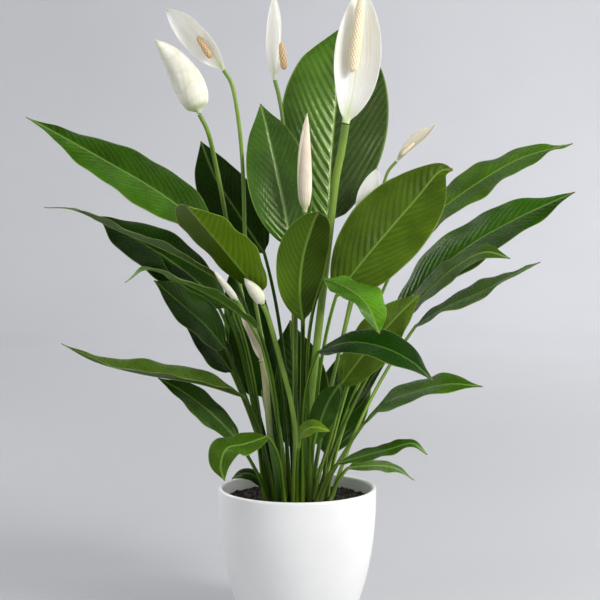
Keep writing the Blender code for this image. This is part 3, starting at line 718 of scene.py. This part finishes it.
def blade_shape(leaf, across_shares, half, share, along, wave):
    """Across, lift, slope and thickness of the section: folded, cupped, waved and veined."""
    fold = math.radians(leaf.fold)
    edge = np.abs(across_shares)
    sign = np.sign(across_shares)
    turn = math.radians(leaf.cup) * edge
    out, rise = cupped(half * edge, turn)
    across = sign * (out * math.cos(fold) - rise * math.sin(fold))
    lift = out * math.sin(fold) + rise * math.cos(fold)
    fade = min(half / (8 * MM), 1)
    lift = lift + np.where(sign < 0, *wave) * edge ** 2.2 * fade * smooth(share / 0.15)
    reach = half * edge / MM
    bend = VEIN_BEND * 2 / leaf.width * reach ** 2
    phase = (along - VEIN_LEAN * reach - bend) / vein_spacing(leaf)
    pillow = np.abs(np.sin(math.pi * phase)) ** 0.75 - 0.6
    quiet = smooth(reach / 3) * smooth((1 - edge) / 0.3)
    lift = lift + VEIN_HEIGHT * leaf.width * MM * pillow * quiet * smooth(share / 0.08)
    thick = BLADE_THICKNESS / 2 * (1 - 0.45 * smooth((edge - 0.9) / 0.1))
    groove = 0.35 * MM * np.exp(-(reach / 0.8) ** 2) * fade
    keel = (PETIOLE_RADIUS * 0.95 * (1 - share) ** 1.2 + 0.15 * MM) * np.exp(-(reach / 1.25) ** 2)
    return across, lift, sign * (fold + turn), thick - groove, thick + keel


# ---- flower stems

STEM_COLUMNS = 20
STEM_ROWS = 70
FLUTES, FLUTE_DEPTH = 5, 0.035


def stem_material(name, low, high, foot, foot_reach):
    """A fluted stem with long streaks, its foot another colour up to foot_reach in mm."""
    graph = Graph(name)
    around, along, _ = graph.mark("stem")
    tone = graph.noise(26)
    lines = graph.streaks(graph.times(around, 9), graph.times(along, 0.02))
    base = graph.mix(graph.spread(tone, 0.35, 0.65), low, high)
    base = graph.mix(graph.spread(lines, 0.4, 0.62, 0, 0.35), base, (0.24, 0.38, 0.06))
    base = graph.mix(graph.spread(along, foot_reach, foot_reach * 0.4), base, foot)
    graph.bump(lines, 0.3 * MM, 0.6)
    return graph.finish(base, graph.spread(tone, 0.3, 0.7, 0.34, 0.5), IOR=1.45)


def make_stem(flower, spot, material):
    points = [place(point) for point in flower.stem]
    rise = STEM_ROWS // 2
    upper = np.linspace(0, 1, STEM_ROWS - rise)
    line = np.concatenate((shoot_line(spot, points, rise), at_shares(points, upper)))
    sides, normals = frames(line, np.array((0, -1.0, 0)), 0)
    angles = np.arange(STEM_COLUMNS) * -TURN / STEM_COLUMNS
    flutes = 1 + FLUTE_DEPTH * np.cos(angles * FLUTES)[:, None]
    radius = flower.stem_radius * MM * (1.12 - 0.12 * smooth(np.linspace(0, 4, len(line))))
    rings = np.array([
        centre + arms(side, normal, angles) * reach * flutes
        for centre, side, normal, reach in zip(line, sides, normals, radius)
    ])
    rings[0, :, 2] = SOIL_TOP + GAP
    marks = np.zeros_like(rings)
    marks[:, :, 0] = np.abs(angles)
    marks[:, :, 1] = travelled(line)[:, None] / MM
    loft(f"flower_stem_{flower.number}", rings, material, {"stem": marks}, sharp=70)


# ---- spathes

SPATHE_ROWS = 72
SPATHE_COLUMNS = np.linspace(-1, 1, 37)
SPATHE_THICKNESS = 0.7 * MM
KEEL_HEIGHT, KEEL_WIDTH = 0.9 * MM, 1.6 * MM
BUD_COLUMNS = 48


def spathe_material(name, white, shade, green, folds=0.0):
    """A creamy bract with long veins, greener at its base, along its back and at its tip."""
    graph = Graph(name)
    margin, share, _ = graph.mark("part")
    tone = graph.noise(30)
    veins = graph.streaks(graph.times(margin, 26), graph.times(share, 2.5), 0.0, 3, 0.6)
    base = graph.mix(graph.spread(tone, 0.3, 0.7), shade, white)
    base = graph.mix(graph.spread(veins, 0.42, 0.62, 0, 0.75), base, shaded(shade, 0.9))
    if folds:
        base = crease_shade_and_patches(graph, base, white, shade, green, folds)
    foot = graph.spread(graph.add(share, graph.times(margin, 0.08)), 0.24, 0.0)
    base = graph.mix(graph.times(foot, 0.85), base, green)
    back = graph.times(graph.spread(margin, 0.09, 0.0), graph.spread(share, 0.9, 0.1))
    base = graph.mix(graph.times(back, 0.5), base, green)
    tip = graph.spread(share, 0.93, 1.0)
    base = graph.mix(graph.times(tip, 0.6), base, green)
    graph.bump(veins, 0.5 * MM, 0.5)
    return graph.finish(
        base, graph.spread(tone, 0.3, 0.7, 0.42, 0.6), IOR=1.4, Subsurface_Weight=0.6,
        Subsurface_Scale=4 * MM, Subsurface_Radius=(1.0, 0.95, 0.75),
    )


def crease_shade_and_patches(graph, base, white, shade, green, folds):
    """Painted shade along soft creases that wind round a closed spathe, and greenish patches."""
    margin, share, _ = graph.mark("part")
    winding = graph.add(margin, graph.times(share, 5))
    winding = graph.add(winding, graph.times(graph.noise(45, 1), 1.6))
    # Painted shade: darker lines where the rolled spathe folds.
    painted_crease_shade = graph.spread(ridges(graph, winding), 0.6, 1.0, 0, folds)
    base = graph.mix(painted_crease_shade, base, blended(shaded(shade, 0.8), green, 0.25))
    patch = graph.spread(graph.noise(55, 2), 0.52, 0.72, 0, folds)
    return graph.mix(patch, base, blended(white, green, 0.5))


def spathe_course(flower, face):
    """The spathe's shares, its line from just above its stem, and its sides and normals."""
    points = [place(point) for point in flower.spathe]
    points[0] = points[0] + unit(points[1] - points[0]) * SPATHE_GAP
    shares = np.linspace(0, 1, SPATHE_ROWS)
    line = at_shares(points, shares)
    return shares, line, *frames(line, np.array(face, float), SPATHE_ROWS // 2)


def spathe_piece(flower, rings, around, shares, material, sharp):
    parts = np.zeros_like(rings)
    parts[:, :, 0] = around
    parts[:, :, 1] = shares[:, None]
    loft(f"spathe_{flower.number}", rings, material, {"part": parts}, sharp)


def make_open_spathe(flower, material):
    """A cupped sheet with a keel down its back, round where it meets its stem."""
    shares, line, sides, normals = spathe_course(flower, flower.face)
    phase = random.Random(40 + flower.number).uniform(0, 6)
    edge = np.abs(SPATHE_COLUMNS)
    sign = np.sign(SPATHE_COLUMNS)
    turn = math.radians(flower.cup) / 2 * edge
    thick = SPATHE_THICKNESS / 2 * (1 - 0.4 * smooth((edge - 0.85) / 0.15))
    angles = sheet_angles(len(edge))
    rings = []
    for centre, side, normal, share in zip(line, sides, normals, shares):
        held = min(max(share, 0.004), 0.993)
        half = flower.width * MM / 2 * outline(held, SPATHE_RISE, SPATHE_FALL)
        out, rise = cupped(half * edge, turn)
        wave = 0.9 * MM * math.sin(share * 9 + phase) * edge ** 2.5 * sign
        ribs = 0.1 * MM * np.cos(edge * 34)
        lift = rise + (wave + ribs) * smooth(share / 0.2)
        keel = KEEL_HEIGHT * np.exp(-(half * edge / KEEL_WIDTH) ** 2) * (1 - share)
        shape = (sign * out, lift, sign * turn, thick, thick + keel)
        ring = sheet_ring(centre, side, normal, *shape)
        neck = centre + arms(side, normal, angles) * flower.stem_radius * MM
        rings.append(neck + (ring - neck) * smooth(share / 0.07))
    spathe_piece(flower, np.array(rings), both_faces(edge), shares, material, sharp=80)


def make_bud(flower, material):
    """A closed spathe rolled round itself, with its outer edge winding up the bud."""
    shares, line, sides, normals = spathe_course(flower, (0, -1, 0))
    turns = np.linspace(0, 1, BUD_COLUMNS)
    rings = []
    for centre, side, normal, share in zip(line, sides, normals, shares):
        radius = flower.width * MM / 2 * outline(min(max(share, 0.01), 0.985), BUD_RISE, BUD_FALL)
        radius = max(radius, 0.25 * MM)
        radius += (flower.stem_radius * MM - radius) * (1 - smooth(share / 0.09))
        overlap = 0.16 * smooth(share / 0.12) * smooth((1 - share) / 0.1)
        start = 0.7 + 1.1 * share + 0.5 * flower.number
        reach = radius * (1 - overlap / 2 + overlap * turns)
        rings.append(centre + arms(side, normal, -(start + turns * TURN)) * reach[:, None])
    spathe_piece(flower, np.array(rings), turns, shares, material, sharp=50)


# ---- spadices

KNOB_SPACING = 3.0  # mm round a spadix
KNOB_PITCH = 2.6 * MM  # and along it
SPADIX_COLUMNS = 64
SPADIX_SHAPE = ((0, 0.04, 0.15, 0.5, 0.85, 0.95, 1), (0.3, 0.75, 0.97, 1, 0.85, 0.6, 0.12))


def spadix_material(name, knob, between):
    graph = Graph(name)
    height, _, _ = graph.mark("knob")
    base = graph.mix(graph.spread(height, 0.25, 0.75), between, knob)
    tone = graph.noise(240, 2)
    base = graph.mix(graph.spread(tone, 0.4, 0.7, 0, 0.4), base, shaded(between, 1.3))
    graph.bump(tone, 0.3 * MM, 0.5)
    return graph.finish(base, 0.6)


def make_spadix(flower, material):
    """A blunt column covered in knobs that are set in two crossing spirals."""
    base, tip, radius = flower.spadix
    low, high = place(base), place(tip)
    side = unit(np.cross(unit(high - low), (0, 1.0, 0)))
    normal = np.cross(side, unit(high - low))
    length = np.linalg.norm(high - low)
    shares = np.linspace(0, 1, max(60, int(length / (0.28 * MM))))
    angles = np.arange(SPADIX_COLUMNS) * -TURN / SPADIX_COLUMNS
    body = np.interp(shares, *SPADIX_SHAPE)
    around = max(5, round(TURN * radius / KNOB_SPACING))
    rise = shares[:, None] * length / KNOB_PITCH * math.pi
    turn = angles[None, :] * around / 2
    knobs = np.abs(np.cos(turn + rise / 2) * np.cos(turn - rise / 2)) ** 0.6
    reach = radius * MM * body[:, None] * (0.88 + 0.16 * knobs)
    centres = low + (high - low) * shares[:, None]
    rings = centres[:, None] + arms(side, normal, angles)[None] * reach[:, :, None]
    marks = np.zeros_like(rings)
    marks[:, :, 0] = knobs
    loft(f"spadix_{flower.number}", rings, material, {"knob": marks})


# ---- pot

POT_SEGMENTS = 160
POT_STEPS = 40  # up each side of the wall
FOOT_ROUND = 2 * MM
FOOT_RISE = 0.9 * MM  # of the underside's middle, inside the foot ring
FOOT_OUT, FOOT_IN = 7.5 * MM, 9 * MM
POT_FLOOR = 6 * MM
AXIS_HOLE = 0.0005 * MM  # so small that the faces close on the axis


def pot_outer_radius(height):
    """The barrel side: nearly upright below the rim and drawn in towards the base."""
    drop = (POT_HEIGHT - height) / POT_HEIGHT
    return POT_RIM_RADIUS - (POT_RIM_RADIUS - POT_BASE_RADIUS) * drop ** POT_BARREL


def pot_profile():
    """Radius and height from the underside's middle, over the rim and down to the floor."""
    lip = POT_WALL / 2
    top = POT_HEIGHT - lip
    foot = POT_BASE_RADIUS - FOOT_ROUND
    profile = [(AXIS_HOLE, FOOT_RISE), (POT_BASE_RADIUS - FOOT_IN, FOOT_RISE)]
    profile += [(POT_BASE_RADIUS - FOOT_OUT, 0), (foot, 0)]
    for step in range(1, 5):
        angle = math.pi / 2 * step / 5
        reach = foot + (pot_outer_radius(FOOT_ROUND) - foot) * math.sin(angle)
        profile.append((reach, FOOT_ROUND * (1 - math.cos(angle))))
    for step in range(POT_STEPS + 1):
        height = FOOT_ROUND + (top - FOOT_ROUND) * step / POT_STEPS
        profile.append((pot_outer_radius(height), height))
    centre = pot_outer_radius(POT_HEIGHT) - lip
    for step in range(1, 12):
        angle = math.pi * step / 12
        profile.append((centre + lip * math.cos(angle), top + lip * math.sin(angle)))
    for step in range(POT_STEPS + 1):
        height = top - (top - POT_FLOOR) * step / POT_STEPS
        profile.append((pot_outer_radius(height) - POT_WALL, height))
    profile.append((AXIS_HOLE, POT_FLOOR))
    return profile


def spun(profile, count):
    """Rings of points round the upright axis, one for each radius and height."""
    angles = np.arange(count) * TURN / count
    return np.array([
        np.column_stack((reach * np.cos(angles), reach * np.sin(angles), np.full(count, height)))
        for reach, height in profile
    ])


def ceramic_material():
    """Satin white glaze: a faint mottle, slight orange peel and a few pinholes."""
    graph = Graph("white_glaze")
    broad = graph.noise(9)
    peel = graph.noise(160, 2)
    specks = graph.noise(900, 1)
    base = graph.mix(graph.spread(broad, 0.3, 0.7), (0.8, 0.8, 0.795), (0.86, 0.86, 0.855))
    base = graph.mix(graph.spread(specks, 0.74, 0.8, 0, 0.35), base, (0.62, 0.6, 0.57))
    graph.bump(graph.add(peel, graph.times(broad, 4)), 0.2 * MM, 0.25)
    return graph.finish(base, graph.spread(broad, 0.3, 0.7, 0.3, 0.4), Coat_Weight=0.15,
                        Coat_Roughness=0.25, IOR=1.5)


def make_pot():
    rings = spun(pot_profile(), POT_SEGMENTS)
    loft("pot", rings, ceramic_material(), sharp=45, ending="_glazed")


# ---- soil

SOIL_RINGS = 34
SOIL_COLUMNS = 120
CRUMBS = 1100
CRUMB_SIZES = (0.7, 0.9, 1.2, 1.2, 1.6, 2.2)
CRUMB = ((1, 0, 0), (0, 1, 0), (0, 0, 1), (-1, 0, 0), (0, -1, 0), (0, 0, -1))
CRUMB_FACES = (
    (0, 1, 2), (1, 3, 2), (3, 4, 2), (4, 0, 2), (1, 0, 5), (3, 1, 5), (4, 3, 5), (0, 4, 5),
)


def soil_material():
    graph = Graph("potting_soil")
    coarse = graph.noise(240, 4, 0.6)
    grain = graph.noise(900, 3, 0.6)
    base = graph.mix(graph.spread(coarse, 0.35, 0.7), (0.008, 0.005, 0.0035), (0.036, 0.021, 0.013))
    base = graph.mix(graph.spread(grain, 0.62, 0.75, 0, 0.6), base, (0.1, 0.065, 0.042))
    graph.bump(graph.add(coarse, grain), MM, 0.8)
    return graph.finish(base, graph.spread(grain, 0.3, 0.7, 0.7, 0.95))


def soil_waves(x, y):
    """The lie of the soil: gentle humps, higher round the crown."""
    reach = math.hypot(x, y)
    humps = 0.9 * math.sin(x * 190 + 0.7) * math.cos(y * 170 - 0.4)
    humps += 0.5 * math.sin(x * 410 + y * 330)
    return (humps + 1.6 * math.exp(-(reach / 0.03) ** 2)) * MM


def make_soil():
    """A plug that fills the pot, its uneven top strewn with crumbs."""
    rng = random.Random(7)
    wall = pot_outer_radius(SOIL_TOP) - POT_WALL - 0.35 * MM
    last = SOIL_RINGS - 1
    under = (SOIL_LOW.z, (SOIL_LOW.z + SOIL_TOP) / 2, SOIL_TOP - 4 * MM)
    profile = [(pot_outer_radius(height) - POT_WALL - 0.6 * MM, height) for height in under]
    profile += [(max(wall * (1 - step / last), 0.2 * MM), SOIL_TOP) for step in range(SOIL_RINGS)]
    rings = spun(profile, SOIL_COLUMNS)
    for step, ring in enumerate(rings[len(under):]):
        for point in ring:
            jitter = rng.uniform(-0.5, 0.5) * MM * (0 < step < last)
            point[2] += soil_waves(point[0], point[1]) + jitter
    points = rings.reshape(-1, 3).tolist()
    faces = loft_faces(len(rings), SOIL_COLUMNS)
    for _ in range(CRUMBS):
        add_crumb(points, faces, rng, wall)
    piece = add_mesh("soil_crumbly", points, faces, soil_material(), sharp=30)
    stand_for(piece, "soil")


def add_crumb(points, faces, rng, wall):
    """A small closed lump of soil lying on the surface."""
    size = rng.choice(CRUMB_SIZES) * MM
    reach = (wall - 2.5 * MM) * math.sqrt(rng.random())
    angle = rng.uniform(0, TURN)
    x, y = reach * math.cos(angle), reach * math.sin(angle)
    z = SOIL_TOP + soil_waves(x, y) + size * 0.3
    start = len(points)
    turn = rng.uniform(0, math.pi)
    for dx, dy, dz in CRUMB:
        grow = size * rng.uniform(0.65, 1.2)
        points.append((
            x + grow * (dx * math.cos(turn) - dy * math.sin(turn)),
            y + grow * (dx * math.sin(turn) + dy * math.cos(turn)),
            z + grow * dz * 0.8,
        ))
    faces.extend(tuple(start + corner for corner in face) for face in CRUMB_FACES)


# ---- studio

AIM = Vector((0.0025, 0, POT_HEIGHT + 0.1721))
VIEW_DISTANCE = 1.6
VIEW_PITCH = math.radians(5.5)
LENS = 105.6
FLOOR_RADIUS = 2.4
FLOOR_BEND = 1.2
BACKDROP_HEIGHT = 3.2
BEND_STEPS = 24
FLOOR_SEGMENTS = 96
LIT_POINT = (0, 0, 0.3)
COOL_WHITE = (0.98, 0.99, 1.0)
LIGHTS = (
    # name, place, size, power, colour
    ("key", (1.35, -1.05, 1.35), (0.6, 0.7), 33, (1.0, 0.985, 0.95)),
    ("side", (1.35, 0.55, 0.8), (0.5, 1.0), 8, (1.0, 0.99, 0.96)),
    ("fill", (-1.5, -1.2, 0.7), (0.6, 0.8), 4.5, COOL_WHITE),
    ("strip", (-0.9, 0.75, 1.1), (0.25, 1.0), 9, COOL_WHITE),
)
WASH_LIGHTS = 4  # shine outwards on the backdrop
WASH_POWER = 29


def set_up(name, data, place_at, aim_at):
    """A lamp or camera in the scene, looking at a point."""
    made = bpy.data.objects.new(name, data)
    made.location = place_at
    made.rotation_mode = "QUATERNION"
    made.rotation_quaternion = (Vector(aim_at) - Vector(place_at)).to_track_quat("-Z", "Y")
    bpy.context.scene.collection.objects.link(made)
    return made


def make_camera():
    data = bpy.data.cameras.new("camera")
    data.lens = LENS
    data.sensor_width = 36
    back = Vector((0, -math.cos(VIEW_PITCH), math.sin(VIEW_PITCH)))
    bpy.context.scene.camera = set_up("camera", data, AIM + back * VIEW_DISTANCE, AIM)


def add_light(name, place_at, aim_at, size, power, colour):
    data = bpy.data.lights.new(name, "AREA")
    data.shape = "RECTANGLE"
    data.size, data.size_y = size
    data.energy = power
    data.color = colour
    set_up(name, data, place_at, aim_at)


def make_lights():
    for name, place_at, size, power, colour in LIGHTS:
        add_light(name, place_at, LIT_POINT, size, power, colour)
    for step in range(WASH_LIGHTS):
        angle = TURN * step / WASH_LIGHTS
        out = Vector((math.cos(angle), math.sin(angle), 0))
        place_at = out * 1.5 + Vector((0, 0, 2.5))
        aim_at = out * 3.5 + Vector((0, 0, 0.5))
        add_light(f"wash_{step}", place_at, aim_at, (2.6, 0.4), WASH_POWER, COOL_WHITE)


def floor_material():
    """Pale grey, lighter far away and up the backdrop, with painted light to the right and painted
    shade to the left.
    """
    graph = Graph("pale_floor")
    x, y, z = graph.split(graph.object_place())
    away = graph.maths("SQRT", graph.add(graph.maths("POWER", x, 2), graph.maths("POWER", y, 2)))
    base = graph.mix(graph.spread(away, 0.6, 2.6), (0.45, 0.455, 0.475), (0.78, 0.785, 0.81))
    base = graph.mix(graph.spread(z, 0.1, 0.9), base, (0.7, 0.705, 0.73))
    # Painted light and shade: the backdrop lighter to the right, darker to the left.
    base = graph.dimmed(base, graph.spread(x, -1.1, 1.1, 0.76, 1.1))
    base = graph.mix(graph.spread(graph.noise(3), 0.3, 0.7, 0, 0.06), base, (0.4, 0.405, 0.42))
    return graph.finish(base, 0.85)


def make_stage():
    """A pale round floor that sweeps up into a backdrop all the way round."""
    profile = [(0.01, 0), (FLOOR_RADIUS, 0)]
    for step in range(1, BEND_STEPS + 1):
        angle = math.pi / 2 * step / BEND_STEPS
        reach = FLOOR_RADIUS + FLOOR_BEND * math.sin(angle)
        profile.append((reach, FLOOR_BEND * (1 - math.cos(angle))))
    profile.append((FLOOR_RADIUS + FLOOR_BEND, BACKDROP_HEIGHT))
    points = spun(profile, FLOOR_SEGMENTS).reshape(-1, 3)
    faces = loft_faces(len(profile), FLOOR_SEGMENTS, closed_ends=False)
    faces = [face[::-1] for face in faces] + [tuple(range(FLOOR_SEGMENTS))]
    add_mesh("floor", points, faces, floor_material())


def make_world():
    world = bpy.data.worlds.new("studio")
    world.use_nodes = True
    background = world.node_tree.nodes["Background"]
    background.inputs["Color"].default_value = (0.95, 0.95, 0.95, 1)
    background.inputs["Strength"].default_value = 0.15
    bpy.context.scene.world = world
    bpy.context.scene.view_settings.view_transform = "Standard"


# ---- everything

CREAM, CREAM_SHADE = (0.9, 0.89, 0.85), (0.8, 0.78, 0.68)
# Duller and browner: partly the spathes' own faded colour, partly painted shade on a spathe that
# sits in shade.
FADED_AND_SHADED, FADED_AND_SHADED_DARKER = (0.7, 0.65, 0.54), (0.54, 0.47, 0.35)
BLUSH, BLUSH_SHADE = (0.86, 0.78, 0.68), (0.74, 0.62, 0.5)
FADED_AND_SHADED_FLOWERS = (6, 10)
BLUSH_FLOWERS = (5,)
PALE_STEMS = (10,)
PALE_SPADICES = (4, 6)


def make_flowers(spots):
    green_stem = stem_material("stem_green", (0.1, 0.19, 0.012), (0.185, 0.3, 0.03),
                               (0.13, 0.23, 0.02), 90)
    pale_stem = stem_material("stem_pale", (0.38, 0.46, 0.15), (0.58, 0.52, 0.29),
                              (0.06, 0.15, 0.01), 110)
    fresh = spathe_material("spathe_cream", CREAM, CREAM_SHADE, (0.46, 0.56, 0.26))
    furled = spathe_material("spathe_furled", CREAM, (0.78, 0.76, 0.62), (0.5, 0.58, 0.26), 0.3)
    blush = spathe_material("spathe_blush", BLUSH, BLUSH_SHADE, (0.48, 0.54, 0.25), 0.25)
    faded_and_shaded = spathe_material("spathe_faded_and_shaded", FADED_AND_SHADED, FADED_AND_SHADED_DARKER, (0.42, 0.44, 0.2))
    pale_spadix = spadix_material("spadix_cream", (0.93, 0.86, 0.66), (0.72, 0.56, 0.33))
    tan_spadix = spadix_material("spadix_tan", (0.74, 0.55, 0.31), (0.42, 0.25, 0.11))
    for flower in FLOWERS:
        stem = pale_stem if flower.number in PALE_STEMS else green_stem
        make_stem(flower, spots[f"flower_stem_{flower.number}"], stem)
        if flower.face is None:
            make_bud(flower, blush if flower.number in BLUSH_FLOWERS else furled)
        else:
            make_open_spathe(flower, faded_and_shaded if flower.number in FADED_AND_SHADED_FLOWERS else fresh)
        if flower.spadix:
            make_spadix(flower, pale_spadix if flower.number in PALE_SPADICES else tan_spadix)


def main():
    make_camera()
    make_stage()
    make_world()
    make_lights()
    make_pot()
    make_soil()
    spots = root_spots()
    for number, (name, leaf) in enumerate(LEAVES.items()):
        make_leaf(name, leaf, spots[name], number)
    make_flowers(spots)


main()
